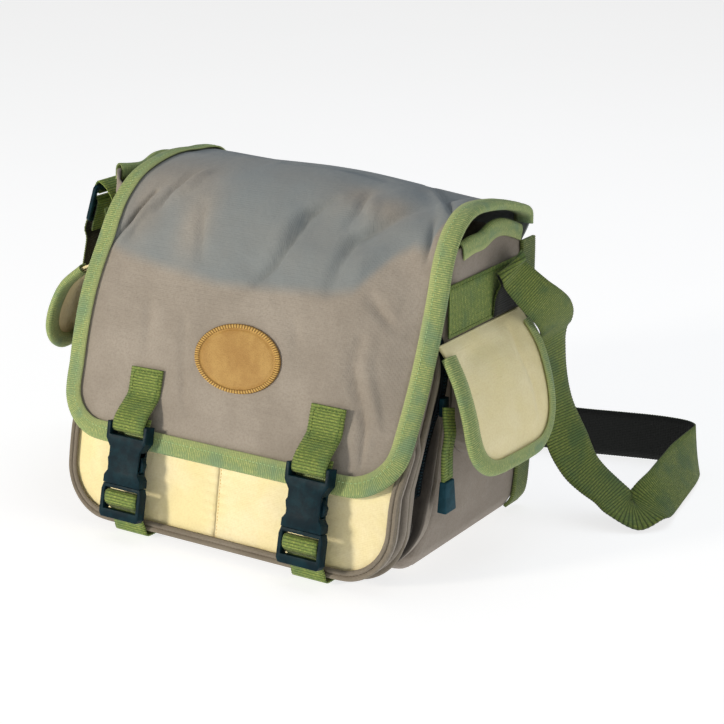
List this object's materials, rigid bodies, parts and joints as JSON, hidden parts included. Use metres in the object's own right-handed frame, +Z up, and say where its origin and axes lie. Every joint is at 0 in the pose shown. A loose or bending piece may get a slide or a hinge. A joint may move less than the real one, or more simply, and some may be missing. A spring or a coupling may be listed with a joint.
{
  "type": "fishing bag",
  "caption": "Canvas shoulder bag for fishing tackle with an over-flap, side-release buckles, a zipped front section, flapped side pockets and a webbing strap.",
  "frame": {"origin": "middle of the base on the ground, under the main compartment", "axes": "X across the bag to its right as seen from the front, -Y is the front, +Z up"},
  "size_m": [0.5178, 0.3892, 0.2738],
  "materials": {
    "canvas": "matt woven cotton canvas, taupe",
    "beige_canvas": "matt woven cotton canvas, pale beige",
    "tape": "ribbed binding tape, sage green",
    "webbing": "woven webbing, moss green",
    "plastic": "moulded plastic, dark blue-green",
    "zip": "zip tape, dark blue-green",
    "rubber": "soft rubber, dark blue-green",
    "leather": "smooth leather, tan"
  },
  "bodies": {
    "root": {"main_body": "canvas", "flap": "canvas", "flap_binding": "tape", "front_section": "canvas", "front_section_zip": "zip", "front_pocket": "beige_canvas", "front_pocket_edging": "canvas", "leather_patch": "leather", "zip_slider": "plastic", "zip_pull": "webbing", "zip_pull_tip": "rubber", "shoulder_strap": "webbing", "strap_anchor_left": "webbing", "strap_slider": "plastic", "closing_tab_left": "webbing", "lower_strap_left": "webbing", "buckle_female_left": "plastic", "buckle_male_left": "plastic", "mouth_binding_left": "tape", "back_binding_left": "tape", "side_band_left": "webbing", "side_pocket_left": "canvas", "side_pocket_flap_left": "beige_canvas", "side_flap_binding_left": "tape", "closing_tab_right": "webbing", "lower_strap_right": "webbing", "buckle_female_right": "plastic", "buckle_male_right": "plastic", "mouth_binding_right": "tape", "back_binding_right": "tape", "side_band_right": "webbing", "side_pocket_right": "canvas", "side_pocket_flap_right": "beige_canvas", "side_flap_binding_right": "tape"}
  },
  "joints": []
}
